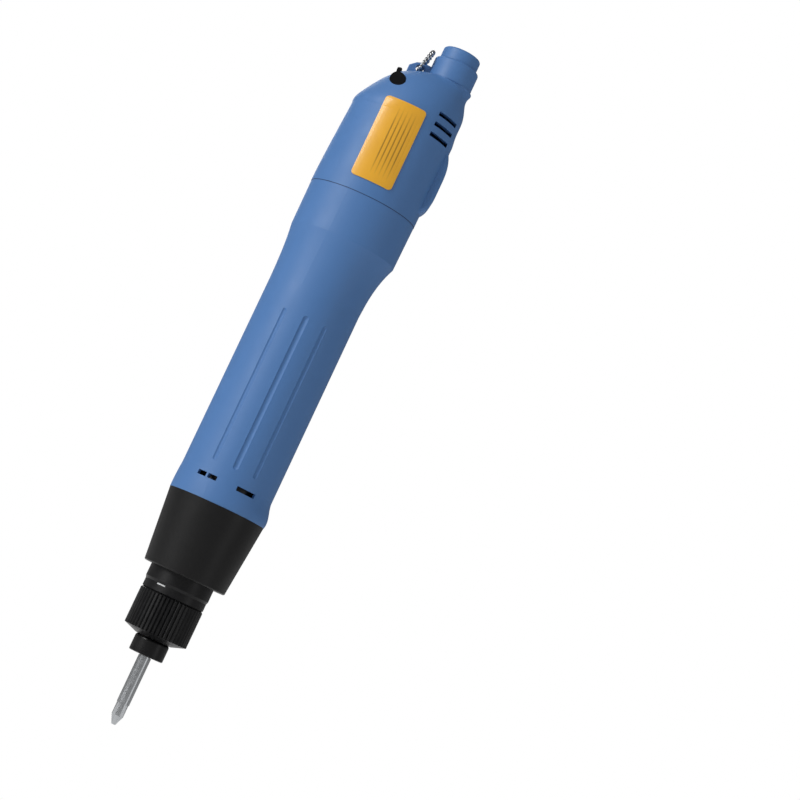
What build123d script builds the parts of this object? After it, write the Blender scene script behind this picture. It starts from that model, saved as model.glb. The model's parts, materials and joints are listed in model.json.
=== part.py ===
from build123d import *
import math
import os

# An electric torque screwdriver of the push-to-start kind, hanging bit down.
# Millimetres. The spindle axis is Z and the origin is where the bit leaves its collar. The label faces -Y,
# and the cable socket stands on the +X side of the head.

# Bit
bit_radius = 2.5
bit_reach = 27.8
flute_length = 8.4
flute_radius = 2.3
relief_radius = 2.2
relief_length = 0.3
bit_point_radius = 0.8
bit_taper_length = 3.6
shank_across = 6.35
shank_length = 13.0
shank_start = 1.0
groove_setback = 9.5

# Bit holder on the spindle's lower end
collar_radius = 6.8
collar_length = 7.0
collar_rounding = 1.4
collar_travel = 1.5
collar_recess_radius = 5.9
collar_recess_depth = 3.7
collar_lip = 1.5
collar_pocket_radius = 5.5
collar_pocket_height = 1.1
ball_radius = 1.1
spindle_radius = 4.9
spindle_start = 0.5
clip_thickness = 0.6
clip_depth = 0.5
clip_width = 1.2
collar_wire_radius = 0.16
shoulder_radius = 5.4
shoulder_height = 3.1
spindle_travel = 2.0

# Fits
running_fit = 0.05
ball_fit = 0.05
slip_fit = 0.1
rod_fit = 0.08
loose_gap = 0.3

# Torque nut, its thread and the clutch spring
nut_radius = 12.6
nut_length = 16.7
nut_overlap = 0.3
nut_cone_height = 1.9
nut_hole_radius = 7.2
nut_floor = 3.3
flute_count = 48
flute_depth = 0.45
thread_radius = 10.3
neck_wall = 1.25
spring_radius = 8.0
spring_wire_radius = 0.8
spring_turns = 7
seat_thickness = 1.5

# Clutch housing and nose
index_radius = 12.4
index_shoulder_radius = 12.75
index_length = 8.9
nose_length = 28.9
nose_low_radius = 16.45
nose_high_radius = 19.3
nose_low_offset = 0.6
nose_high_offset = 0.45
nose_floor = 2.1
nose_spigot = 6.0
nose_spigot_radius = 16.7
nose_bore_radius = 15.2
cup_radius = 14.9
cup_wall = 1.05
waist_radius = 13.3
waist_length = 6.9
chamber_depth = 0.9
plate_thickness = 1.4
web_thickness = 2.6
clutch_ball_radius = 1.75
clutch_ball_count = 6
clutch_pitch_radius = 12.0
clutch_dent = 0.5
bush_radius = 6.6
bush_start = 12.5
bush_head_radius = 7.55
bush_collar_radius = 8.2
bush_head_height = 1.5
bush_collar_height = 1.2
bearing_radius = 9.5
bearing_width = 3.5
bearing_ball_radius = 0.8
bearing_ball_count = 10

# Gearbox: two planetary stages in ring gears of one size
gear_module = 0.55
sun_teeth = 12
planet_teeth = 15
planet_count = 3
pressure_angle = 25.0
addendum = 0.8
dedendum = 1.05
tooth_slack = 0.08
planet_width = 5.0
planet_pin_radius = 1.25
carrier_radius = 10.5
carrier_plate = 3.4
input_plate = 2.4
hub_radius = 6.0
hub_length = 7.6
tang_across = 5.5
tang_length = 6.2
gear_gap = 0.2
ring_lip_radius = 10.3
ring_lip_height = 3.2

# Motor
motor_plate_thickness = 2.0
motor_radius = 13.9
motor_length = 56.0
motor_wall = 0.7
motor_face = 1.4
shaft_radius = 1.6
magnet_thickness = 1.5
magnet_angle = 130.0
core_radius = 10.8
core_length = 36.0
commutator_radius = 3.5
end_bell_height = 5.0
bearing_boss_radius = 4.2
boss_height = 1.8
motor_screw_radius = 1.0
motor_screw_pitch = 8.0

# Start rod, its spring and the start switch
rod_radius = 0.9
rod_reach = 4.6
cap_radius = 4.0
cap_height = 3.0
start_spring_radius = 2.9
start_wire_radius = 0.3
start_spring_turns = 5
bracket_rise = 14.0
bracket_plate = 2.0
bracket_leg = 2.4
switch_width = 12.8
switch_depth = 6.5
switch_height = 6.0
plunger_radius = 1.2

# Grip sleeve
grip_radius = 18.55
grip_wall = 2.0
grip_length = 128.2
flare_length = 10.6
flare_left = 18.9
flare_right = 19.9
flare_depth = 19.1
swell_start = 88.0
swell_length = 22.2
band_left = 20.1
band_right = 22.9
band_depth = 20.5
grip_groove_radius = 1.5
grip_groove_depth = 0.55
grip_groove_start = 15.5
grip_groove_length = 61.0
vent_height = 1.8
vent_rise = 8.6
vent_width = 8.2
vent_rib = 0.7
motor_rib = 2.0

# Head, in two shells parted on the plane Y = 0
head_wall = 2.2
head_left = 20.3
head_right = 23.2
head_depth = 20.6
dome_start = 34.4
dome_height = 22.5
neck_x = 11.8
neck_radius = 9.0
neck_height = 65.2
neck_rounding = 1.1
neck_step = 0.35
lip_depth = 3.0
lip_thickness = 1.0
seam_fit = 0.15
pad_rise = 2.2
pad_start = 3.9
pad_length = 31.0
pad_width = 13.5
head_vent_count = 3
head_vent_pitch = 4.35
head_vent_height = 1.75
head_vent_start = 31.9
head_vent_x = 13.0
boss_radius = 3.3
screw_radius = 1.2
screw_head_radius = 2.2
screw_head_height = 1.6
screw_seat = 6.0
screw_length = 13.5

# Label plate
label_width = 16.6
label_height = 33.5
label_rise = 5.5
label_x = 0.4
label_thickness = 0.35
label_corner = 1.5

# Cable socket
socket_radius = 5.9
socket_collar_radius = 7.6
socket_collar_height = 5.1
socket_spigot = 4.0
socket_insert_height = 7.0
contact_count = 5
contact_radius = 0.9
contact_pitch_radius = 3.2

# Forward and reverse rocker
rocker_x = -6.8
rocker_rise = 47.7
rocker_radius = 3.1
rocker_half_length = 10.6
nub_reach = 6.7
nub_thickness = 2.0
nub_width = 6.0
nub_lean = -10.0
rocker_travel = 30.0
notch_width = 7.4
finger_reach = 8.3
finger_thickness = 1.6

# Lug and hang ring
lug_x = -0.8
lug_rise = 57.4
lug_thickness = 4.0
lug_hole_radius = 1.7
ring_radius = 4.45
ring_wire_radius = 0.55
ring_lean = 12.5
ring_slack = 0.35

# Controller board
board_width = 23.0
board_length = 66.0
board_thickness = 1.6
board_x = 1.0
board_y = 0.8
board_drop = 25.0

# Heights that follow from the lengths above
point_z = -bit_reach
shank_z1 = shank_start + shank_length
nut_z0 = collar_length - nut_overlap
nut_z1 = nut_z0 + nut_length
nut_seat_z = nut_z0 + nut_floor
thread_z0 = nut_seat_z + seat_thickness + 0.5
index_z0 = nut_z1 + 0.2
nose_z0 = index_z0 + index_length
nose_z1 = nose_z0 + nose_length
grip_z1 = nose_z1 + grip_length
step_z = nose_z0 + nose_floor + waist_length
plate_z0 = step_z - 0.5
chamber_z0 = plate_z0 - 0.4
web_z1 = step_z + 8.5
web_z0 = web_z1 - web_thickness
ring_z0 = web_z1 + gear_gap
clutch_ball_z = ring_z0 + clutch_dent - clutch_ball_radius
plate_z1 = clutch_ball_z - clutch_ball_radius
bearing_z0 = web_z1 - bearing_width
bush_z1 = bearing_z0 - gear_gap
hub_z0 = bush_z1 + slip_fit
hub_z1 = hub_z0 + hub_length
carrier_z1 = hub_z1 + carrier_plate
output_gear_z0 = carrier_z1 + gear_gap
input_plate_z0 = output_gear_z0 + planet_width + 1.2
input_plate_z1 = input_plate_z0 + input_plate
input_gear_z0 = input_plate_z1 + gear_gap
ring_split_z = input_plate_z0 + 0.8
cup_z1 = input_gear_z0 + planet_width + 1.6
motor_z0 = cup_z1 + motor_plate_thickness
motor_z1 = motor_z0 + motor_length
motor_z2 = motor_z1 + end_bell_height
clip_z0 = bush_z1 + slip_fit
clip_z1 = clip_z0 + clip_thickness + 0.2
tang_z0 = clip_z1 + 0.6
tang_z1 = tang_z0 + tang_length
rod_z1 = motor_z2 + rod_reach
bracket_z1 = motor_z2 + bracket_rise
bracket_z0 = bracket_z1 - bracket_plate
swell_z0 = nose_z1 + swell_start
band_z = swell_z0 + swell_length
dome_z0 = grip_z1 + dome_start
dome_z1 = dome_z0 + dome_height
neck_z1 = grip_z1 + neck_height
rocker_z = grip_z1 + rocker_rise
lug_z = grip_z1 + lug_rise
board_z0 = grip_z1 - board_drop
board_z1 = board_z0 + board_length

# Radii that follow
spring_outer = spring_radius + spring_wire_radius
neck_inner = thread_radius - neck_wall
cup_inner = cup_radius - cup_wall
ring_outer = cup_inner - running_fit
sun_pitch = gear_module * sun_teeth / 2
planet_pitch = gear_module * planet_teeth / 2
ring_teeth = sun_teeth + 2 * planet_teeth
centre_distance = sun_pitch + planet_pitch
ball_circle = spindle_radius - ball_radius
can_inner = motor_radius - motor_wall
grip_inner = grip_radius - grip_wall
tooth_tip = addendum * gear_module
tooth_root = dedendum * gear_module


def rod(radius, z0, z1, x=0.0, y=0.0):
    """An upright cylinder between two heights."""
    return Pos(x, y, z0) * Cylinder(radius, z1 - z0, align=(Align.CENTER, Align.CENTER, Align.MIN))


def tube(outer, inner, z0, z1):
    return rod(outer, z0, z1) - rod(inner, z0, z1)


def block(x0, x1, y0, y1, z0, z1):
    return Pos((x0 + x1) / 2, (y0 + y1) / 2, (z0 + z1) / 2) * Box(x1 - x0, y1 - y0, z1 - z0)


def cross_rod(radius, x, z, y0, y1):
    """A cylinder along Y between two depths."""
    return Pos(x, y1, z) * Rot(X=90) * Cylinder(
        radius, y1 - y0, align=(Align.CENTER, Align.CENTER, Align.MIN))


def prism(across, z0, z1):
    """An upright hexagonal bar, given across its flats."""
    face = RegularPolygon(across / 2, 6, major_radius=False)
    return extrude(Pos(0, 0, z0) * face, amount=z1 - z0)


def turned(*points):
    """A solid of revolution about the spindle axis from (radius, height) corners."""
    face = make_face(Polyline(*[(r, 0, z) for r, z in points], close=True))
    return revolve(face, Axis.Z)


def around(count, radius, solid, start=0.0):
    """Copies of a solid, moved out on X and set round the axis."""
    return [Rot(Z=start + 360 * i / count) * Pos(radius, 0, 0) * solid for i in range(count)]


def oval(z, left, right, depth, grow=0.0):
    """A level section that reaches left and right on X and a depth each way on Y."""
    half = (left + right) / 2 + grow
    short = min(depth + grow, half)
    arcs = [EllipticalCenterArc((0, 0), half, short, start_angle=turn, arc_size=180) for turn in (70, 250)]
    return Pos((right - left) / 2, 0, z) * make_face(arcs)


def clip(radius, z0, z1, width):
    """A retaining ring with its gap."""
    ring = tube(radius + width - clip_depth, radius - clip_depth, z0, z1)
    return ring - block(0, 2 * radius, -radius / 4, radius / 4, z0, z1)


def coil(radius, wire, z0, z1, turns):
    """A compression spring of flat-sided wire between two seats."""
    height = z1 - z0 - 2 * wire
    path = Pos(0, 0, z0 + wire) * Helix(height / turns, height, radius)
    start = Plane(origin=path @ 0, x_dir=(0, 0, 1), z_dir=path % 0)
    return sweep(start * RegularPolygon(wire, 6), path=path, is_frenet=True)


def tooth_points(teeth, thickness, outer, inner, flank_steps=2):
    """One tooth's outline in polar form: an involute flank up, the tip, and the same flank down."""
    pitch = gear_module * teeth / 2
    base = pitch * math.cos(math.radians(pressure_angle))
    roll = math.tan(math.radians(pressure_angle)) - math.radians(pressure_angle)
    half = thickness / (2 * pitch)
    low = max(base, inner)
    flank = []
    for step in range(flank_steps + 1):
        radius = low + (outer - low) * step / flank_steps
        turn = math.acos(min(1.0, base / radius))
        flank.append((radius, half + roll - (math.tan(turn) - turn)))
    points = [(inner, flank[0][1])] if inner < base else []
    points += flank
    return [(r, -a) for r, a in points] + [(r, a) for r, a in reversed(points)]


def toothed_face(teeth, thickness, outer, inner, turn=0.0):
    corners = []
    for tooth in range(teeth):
        middle = 2 * math.pi * tooth / teeth + turn
        for radius, angle in tooth_points(teeth, thickness, outer, inner):
            corners.append((radius * math.cos(middle + angle), radius * math.sin(middle + angle)))
    return make_face(Polyline(*corners, close=True))


def gear(teeth, z0, z1, turn=0.0):
    """An external gear whose teeth are thinned for backlash."""
    pitch = gear_module * teeth / 2
    thickness = math.pi * gear_module / 2 - tooth_slack
    face = toothed_face(teeth, thickness, pitch + tooth_tip, pitch - tooth_root, turn)
    return extrude(Pos(0, 0, z0) * face, amount=z1 - z0)


def ring_cutter(z0, z1):
    """The space inside a ring gear."""
    pitch = gear_module * ring_teeth / 2
    thickness = math.pi * gear_module / 2 + tooth_slack / 2
    face = toothed_face(ring_teeth, thickness, pitch + tooth_root, pitch - tooth_tip)
    return extrude(Pos(0, 0, z0) * face, amount=z1 - z0)


def planet_turn(direction):
    """The angle that brings a planet, at a direction from the sun, into mesh with a sun set at zero."""
    phase = 0.5 - direction * sun_teeth / (2 * math.pi)
    return direction + math.pi - 2 * math.pi / planet_teeth * phase


def planet(index, z0):
    direction = 2 * math.pi * index / planet_count
    wheel = gear(planet_teeth, z0, z0 + planet_width, planet_turn(direction))
    wheel -= rod(planet_pin_radius + running_fit, z0, z0 + planet_width)
    return Pos(centre_distance * math.cos(direction), centre_distance * math.sin(direction), 0) * wheel


def planet_pins(z0):
    pin = rod(planet_pin_radius, z0, z0 + gear_gap + planet_width + 0.8)
    return around(planet_count, centre_distance, pin)


# Bit and bit holder

def bit():
    taper_z = point_z + bit_taper_length
    body = turned((0, point_z), (bit_point_radius, point_z), (flute_radius, taper_z),
                  (flute_radius, point_z + flute_length), (0, point_z + flute_length))
    for quarter in range(4):
        flute = Pos(0, 0, point_z) * Rot(Z=45 + 90 * quarter) * Pos(bit_radius, 0, 0) * Rot(Y=9) * Rot(Z=45) * Box(
            bit_radius, bit_radius, 2 * flute_length)
        body -= flute
    body += rod(bit_radius, point_z + flute_length, -relief_length)
    body += rod(relief_radius, point_z + flute_length, shank_start)
    shank = prism(shank_across, shank_start, shank_z1)
    shank = chamfer(shank.faces().sort_by(Axis.Z)[-1].edges(), 0.4)
    groove_z = shank_z1 - groove_setback
    groove = revolve(Pos(ball_circle, 0, groove_z) * Rot(X=90) * Circle(ball_radius + slip_fit), Axis.Z)
    return body + (shank - groove)


def detent_balls():
    height = shank_z1 - groove_setback
    return Compound(around(3, ball_circle, Pos(0, 0, height) * Sphere(ball_radius), 90))


def spindle():
    body = rod(spindle_radius, spindle_start, tang_z0)
    body += rod(shoulder_radius, collar_length + slip_fit, collar_length + shoulder_height)
    body += prism(tang_across, tang_z0, tang_z1)
    body -= prism(shank_across + 2 * running_fit, spindle_start, shank_z1)
    height = shank_z1 - groove_setback
    hole = Pos(0, 0, height) * Rot(Y=90) * Cylinder(
        ball_radius + ball_fit, spindle_radius + 1, align=(Align.CENTER, Align.CENTER, Align.MIN))
    for pocket in around(3, 0, hole, 90):
        body -= pocket
    for z0, z1 in ((spindle_start + 0.1, spindle_start + 0.1 + clip_thickness), (clip_z0, clip_z1)):
        body -= tube(spindle_radius + 1, spindle_radius - clip_depth, z0, z1)
    return body


def collar_clip():
    z0 = spindle_start + 0.1
    return clip(spindle_radius, z0, z0 + clip_thickness, clip_width)


def spindle_clip():
    return clip(spindle_radius, clip_z0, clip_z1, clip_depth + 0.2)


def bit_collar():
    bore = spindle_radius + running_fit + 0.02
    body = rod(collar_radius, 0, collar_length)
    body = fillet(body.edges().filter_by(GeomType.CIRCLE).sort_by(Axis.Z)[-1], collar_rounding)
    body = chamfer(body.edges().filter_by(GeomType.CIRCLE).sort_by(Axis.Z)[0], 0.3)
    body -= rod(bore, 0, collar_length)
    body -= rod(collar_recess_radius, 0, collar_recess_depth)
    pocket_z = collar_recess_depth + collar_lip
    body -= rod(collar_pocket_radius, pocket_z, pocket_z + collar_pocket_height)
    return body


def collar_spring():
    radius = (collar_recess_radius + spindle_radius) / 2
    z0 = spindle_start + 0.1 + clip_thickness
    return coil(radius, collar_wire_radius, z0, collar_recess_depth, 2)


def spindle_bush():
    body = rod(bush_radius, bush_start, bush_z1) + rod(bush_head_radius, bush_z1 - bush_head_height, bush_z1)
    collar_z1 = bush_z1 - bush_head_height
    body += rod(bush_collar_radius, collar_z1 - bush_collar_height, collar_z1)
    return body - rod(spindle_radius + running_fit, bush_start, bush_z1)


# Torque nut and clutch

def fluted_bar(z0, z1):
    """The nut's outside: ridges with flat tops and narrow valleys."""
    corners = []
    pitch = 2 * math.pi / flute_count
    for ridge in range(flute_count):
        for radius, share in ((nut_radius, 0.0), (nut_radius, 0.45), (nut_radius - flute_depth, 0.7)):
            angle = pitch * (ridge + share)
            corners.append((radius * math.cos(angle), radius * math.sin(angle)))
    return extrude(Pos(0, 0, z0) * make_face(Polyline(*corners, close=True)), amount=z1 - z0)


def torque_nut():
    edge = 0.5
    shape = turned((0, nut_z0), (nut_hole_radius, nut_z0), (nut_radius, nut_z0 + nut_cone_height),
                   (nut_radius, nut_z1 - edge), (nut_radius - edge, nut_z1), (0, nut_z1))
    body = fluted_bar(nut_z0, nut_z1) & shape
    body -= rod(nut_hole_radius, nut_z0, nut_z1)
    return body - rod(thread_radius + running_fit, nut_seat_z, nut_z1)


def spring_seat():
    return tube(neck_inner - 0.15, nut_hole_radius, nut_seat_z, nut_seat_z + seat_thickness)


def clutch_spring():
    return coil(spring_radius, spring_wire_radius, nut_seat_z + seat_thickness, plate_z0, spring_turns)


def pressure_plate():
    outer = clutch_pitch_radius + 1.0
    inner = spring_radius - spring_wire_radius
    body = tube(outer, inner, plate_z0, plate_z0 + plate_thickness)
    return body + tube(outer, clutch_pitch_radius - 1.6, plate_z0, plate_z1)


def clutch_balls():
    ball = Pos(0, 0, clutch_ball_z) * Sphere(clutch_ball_radius)
    return Compound(around(clutch_ball_count, clutch_pitch_radius, ball))


def clutch_housing():
    body = turned((0, thread_z0), (thread_radius, thread_z0), (thread_radius, index_z0),
                  (index_radius, index_z0), (index_radius, index_z0 + 3.0),
                  (index_shoulder_radius, index_z0 + 4.0),
                  (index_shoulder_radius, nose_z0 + nose_floor + slip_fit),
                  (waist_radius, nose_z0 + nose_floor + slip_fit), (waist_radius, step_z),
                  (cup_radius, step_z), (cup_radius, cup_z1), (0, cup_z1))
    body -= rod(neck_inner, thread_z0, chamber_z0)
    body -= rod(clutch_pitch_radius + 1.2, chamber_z0, web_z0)
    body -= rod(cup_inner, web_z1, cup_z1)
    boss_z0 = bush_z1 - bush_head_height
    boss = rod(clutch_pitch_radius - clutch_ball_radius - ball_fit, boss_z0, web_z0)
    body += boss
    body -= rod(bush_head_radius + running_fit, boss_z0, web_z1)
    body -= rod(bearing_radius + 0.02, bearing_z0, web_z1)
    hole = rod(clutch_ball_radius + ball_fit, web_z0, web_z1)
    for pocket in around(clutch_ball_count, clutch_pitch_radius, hole):
        body -= pocket
    return body


# Ball bearing under the output carrier

def bearing_middle():
    return (hub_radius + bearing_radius) / 2


def race_groove():
    height = bearing_z0 + bearing_width / 2
    circle = Pos(bearing_middle(), 0, height) * Rot(X=90) * Circle(bearing_ball_radius + ball_fit)
    return revolve(circle, Axis.Z)


def output_bearing_outer():
    race = tube(bearing_radius, bearing_middle() + 0.5, bearing_z0, web_z1) - race_groove()
    ball = Pos(0, 0, bearing_z0 + bearing_width / 2) * Sphere(bearing_ball_radius)
    return Compound([race] + around(bearing_ball_count, bearing_middle(), ball))


def output_bearing_inner():
    return tube(bearing_middle() - 0.5, hub_radius, bearing_z0, web_z1) - race_groove()


# Gearbox

def output_carrier():
    body = rod(hub_radius, hub_z0, hub_z1) + rod(carrier_radius, hub_z1, carrier_z1)
    body -= rod(spindle_radius + 2 * slip_fit + 0.2, hub_z0, web_z1)
    body -= prism(tang_across + 2 * running_fit, web_z1, carrier_z1 - 0.8)
    body -= rod(rod_radius + rod_fit, hub_z0, carrier_z1)
    for pin in planet_pins(carrier_z1):
        body += pin
    return body


def output_ring_gear():
    body = rod(ring_outer, ring_z0, ring_split_z)
    body -= rod(ring_lip_radius, ring_z0, ring_z0 + ring_lip_height)
    body -= ring_cutter(ring_z0 + ring_lip_height, ring_split_z)
    dent = Pos(0, 0, clutch_ball_z) * Sphere(clutch_ball_radius + ball_fit)
    for pocket in around(clutch_ball_count, clutch_pitch_radius, dent):
        body -= pocket
    return body


def input_ring_gear():
    z0 = ring_split_z + gear_gap
    return rod(ring_outer, z0, cup_z1 - 0.4) - ring_cutter(z0, cup_z1 - 0.4)


def input_carrier():
    sun_z1 = output_gear_z0 + planet_width + 0.4
    body = gear(sun_teeth, output_gear_z0 + gear_gap, sun_z1)
    body += rod(sun_pitch - tooth_root, sun_z1, input_plate_z0)
    body += rod(carrier_radius, input_plate_z0, input_plate_z1)
    for pin in planet_pins(input_plate_z1):
        body += pin
    return body - rod(rod_radius + rod_fit, output_gear_z0, input_plate_z1)


# Motor

def motor_screw_places():
    return [Pos(motor_screw_pitch * side, 0, 0) for side in (-1, 1)]


def motor_plate():
    body = rod(cup_radius, cup_z1, motor_z0) - rod(bearing_boss_radius + running_fit, cup_z1, motor_z0)
    for place in motor_screw_places():
        body -= place * rod(motor_screw_radius + slip_fit, cup_z1, motor_z0)
        body -= place * rod(2 * motor_screw_radius + slip_fit, cup_z1, cup_z1 + motor_screw_radius)
    return body


def motor_screws():
    head = rod(2 * motor_screw_radius, cup_z1, cup_z1 + motor_screw_radius)
    screw = head + rod(motor_screw_radius, cup_z1, motor_z0 + motor_face)
    return Compound([place * screw for place in motor_screw_places()])


def motor_can():
    body = rod(motor_radius, motor_z0, motor_z1) - rod(can_inner, motor_z0 + motor_face, motor_z1)
    body += rod(bearing_boss_radius, motor_z0 - boss_height, motor_z0)
    body -= rod(2 * shaft_radius, motor_z0 - boss_height, motor_z0 + motor_face)
    for place in motor_screw_places():
        body -= place * rod(motor_screw_radius, motor_z0, motor_z0 + motor_face)
    return body


def motor_front_bearing():
    return tube(2 * shaft_radius, shaft_radius + running_fit, motor_z0 - boss_height, motor_z0 + motor_face)


def magnet_z():
    return motor_z0 + motor_face + 4.0, motor_z1 - 8.0


def motor_magnets():
    z0, z1 = magnet_z()
    shell = tube(can_inner, can_inner - magnet_thickness, z0, z1)
    cut = math.radians((180 - magnet_angle) / 2)
    reach = 2 * can_inner
    wedge = make_face(Polyline((0, 0), (reach, -reach * math.tan(cut)), (reach, reach * math.tan(cut)),
                               close=True))
    gap = extrude(Pos(0, 0, z0) * wedge, amount=z1 - z0)
    return shell - gap - Rot(Z=180) * gap


def core_z():
    z0, z1 = magnet_z()
    middle = (z0 + z1) / 2
    return middle - core_length / 2, middle + core_length / 2


def rotor_shaft():
    body = rod(shaft_radius, input_gear_z0, motor_z2)
    return body - rod(rod_radius + rod_fit, input_gear_z0, motor_z2)


def rotor_pinion():
    return gear(sun_teeth, input_gear_z0 + gear_gap, input_gear_z0 + planet_width + 0.8) - rod(
        shaft_radius, input_gear_z0, motor_z0)


def rotor_core():
    z0, z1 = core_z()
    body = tube(core_radius, shaft_radius, z0, z1)
    slot = block(core_radius - 6.0, core_radius + 1, -0.8, 0.8, z0, z1)
    well = rod(2.0, z0, z1)
    for cut in around(5, 0, slot) + around(5, core_radius - 4.2, well):
        body -= cut
    return body


def rotor_windings():
    """The copper ends of the winding, one at each face of the core."""
    z0, z1 = core_z()
    low = tube(core_radius - 2.2, shaft_radius + 1.2, z0 - 3.2, z0)
    high = tube(core_radius - 2.2, shaft_radius + 1.2, z1, z1 + 2.6)
    return Compound([chamfer(end.edges().filter_by(GeomType.CIRCLE), 0.6) for end in (low, high)])


def commutator_z():
    z1 = motor_z1 - 1.2
    return z1 - 5.0, z1


def rotor_commutator():
    z0, z1 = commutator_z()
    return tube(commutator_radius, shaft_radius, z0, z1)


def brush_block(reach, z_grow, y_half):
    z0, z1 = commutator_z()
    return block(commutator_radius + slip_fit, reach, -y_half, y_half, z0 + 0.6 - z_grow, z1 - 0.6 + z_grow)


def motor_brushes():
    brush = brush_block(commutator_radius + 4.6, 0.0, 1.5)
    return Compound([brush, Rot(Z=180) * brush])


def motor_end_bell():
    z0, z1 = commutator_z()
    body = rod(motor_radius, motor_z1, motor_z1 + 2.0) + rod(bearing_boss_radius, motor_z1, motor_z2)
    body += tube(can_inner - slip_fit, can_inner - 1.6, motor_z1 - 2.0, motor_z1)
    holder = block(commutator_radius + 0.8, commutator_radius + 6.2, -2.4, 2.4, z0, motor_z1)
    channel = brush_block(commutator_radius + 4.8, 0.05, 1.55)
    holder -= channel
    body += holder
    body += Rot(Z=180) * holder
    return body - rod(2 * shaft_radius, motor_z1, motor_z2)


def motor_rear_bearing():
    return tube(2 * shaft_radius, shaft_radius + running_fit, motor_z1, motor_z2 - 0.5)


# Start rod and switch

def start_rod():
    return rod(rod_radius, tang_z1, rod_z1)


def rod_cap():
    z0 = rod_z1 - cap_height + 1.0
    return rod(cap_radius, z0, z0 + cap_height) - rod(rod_radius, z0, rod_z1)


def cap_top():
    return rod_z1 + 1.0


def start_spring():
    return coil(start_spring_radius, start_wire_radius, cap_top(), bracket_z0, start_spring_turns)


def switch_bracket():
    """A table on three legs that stand on the motor's end bell."""
    outer = motor_radius - 0.2
    body = rod(outer, bracket_z0, bracket_z1)
    leg_ring = tube(outer, outer - bracket_leg, motor_z1 + 2.0, bracket_z0)
    for leg in around(3, outer, block(-6, 6, -3, 3, motor_z1 + 2.0, bracket_z0)):
        body += leg_ring & leg
    body -= rod(plunger_radius + slip_fit, bracket_z0, bracket_z1)
    return body


def start_switch():
    half_width, half_depth = switch_width / 2, switch_depth / 2
    body = block(-half_width, half_width, -half_depth, half_depth, bracket_z1, bracket_z1 + switch_height)
    body -= rod(plunger_radius + running_fit, bracket_z1, bracket_z1 + switch_height - 1.5)
    for side in (-1, 1):
        body += block(side * 4 - 0.4, side * 4 + 0.4, -1.2, 1.2, bracket_z1 + switch_height,
                      bracket_z1 + switch_height + 3.0)
    return body


def start_plunger():
    return rod(plunger_radius, cap_top(), bracket_z1 + 1.5)


# Nose and grip

def nose_housing():
    low = Pos(nose_low_offset, 0, nose_z0) * Circle(nose_low_radius)
    high = Pos(nose_high_offset, 0, nose_z1) * Circle(nose_high_radius)
    body = loft([low, high])
    body = chamfer(body.edges().filter_by(GeomType.CIRCLE).sort_by(Axis.Z)[0], 0.35)
    body += rod(nose_spigot_radius, nose_z1, nose_z1 + nose_spigot)
    body -= rod(index_shoulder_radius + running_fit, nose_z0, nose_z1)
    body -= rod(waist_radius + loose_gap, nose_z0 + nose_floor, step_z)
    return body - rod(nose_bore_radius, step_z, nose_z1 + nose_spigot)


def grip_rows():
    """Sections of the sleeve from its foot to its seam: height, left, right and depth."""
    radius = grip_radius
    foot = [(nose_z1, flare_left, flare_right - 0.1, flare_depth),
            (nose_z1 + 0.36 * flare_length, flare_left, flare_right, flare_depth),
            (nose_z1 + 0.82 * flare_length, radius + 0.12, radius + 0.1, radius + 0.1),
            (nose_z1 + flare_length, radius, radius, radius)]
    swell = []
    for share, out in ((0.0, 0.0), (0.36, 0.13), (0.62, 0.34), (0.84, 0.64), (1.0, 0.95)):
        swell.append((swell_z0 + share * swell_length, radius + out * (band_left - radius),
                      radius + out * (band_right - radius), radius + out * (band_depth - radius)))
    band = [swell[-1], (grip_z1, band_left + 0.1, band_right + 0.1, band_depth)]
    return foot, swell, band


def grip_form(grow=0.0):
    foot, swell, band = grip_rows()
    body = loft([oval(*row, grow) for row in foot])
    body += rod(grip_radius + grow, nose_z1 + flare_length, swell_z0)
    body += loft([oval(*row, grow) for row in swell])
    return body + loft([oval(*row, grow) for row in band])


def grip_vents():
    """Two air slots in front and two behind. The front left one keeps a rib at its middle."""
    z0 = nose_z1 + vent_rise - vent_height / 2
    slots = []
    for angle in (-90 - 25.4, -90 + 25.4, 90 - 25.4, 90 + 25.4):
        slot = block(grip_inner - 1, grip_radius + 3, -vent_width / 2, vent_width / 2, z0, z0 + vent_height)
        if angle < -90:
            slot -= block(0, 2 * grip_radius, -vent_rib / 2, vent_rib / 2, z0, z0 + vent_height)
        slots.append(Rot(Z=angle) * slot)
    return slots


def grip_grooves():
    """Finger grooves with rounded ends, three in front and three behind."""
    z0 = nose_z1 + grip_groove_start
    cuts = []
    for angle, width in ((-26, 0.7), (1.5, 1.0), (27, 0.8)):
        radius = grip_groove_radius * width
        depth = grip_groove_depth * width
        centre = grip_radius + radius - depth
        z1 = z0 + grip_groove_length
        bar = rod(radius, z0, z1) + Pos(0, 0, z0) * Sphere(radius) + Pos(0, 0, z1) * Sphere(radius)
        for side in (-90, 90):
            cuts.append(Rot(Z=side + angle) * Pos(centre, 0, 0) * bar)
    return cuts


def grip():
    foot, swell, band = grip_rows()
    body = grip_form() - rod(grip_inner, nose_z1, swell_z0)
    body -= rod(nose_spigot_radius + running_fit, nose_z1, nose_z1 + nose_spigot + slip_fit)
    body -= loft([oval(*row, -grip_wall) for row in swell])
    body -= loft([oval(*row, -grip_wall) for row in band])
    for cut in grip_vents() + grip_grooves():
        body -= cut
    rib = block(motor_radius + slip_fit, grip_inner + 0.3, -motor_rib / 2, motor_rib / 2,
                motor_z0 + 1, motor_z1)
    for stay in around(4, 0, rib, 45):
        body += stay
    return body


# Head

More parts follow.
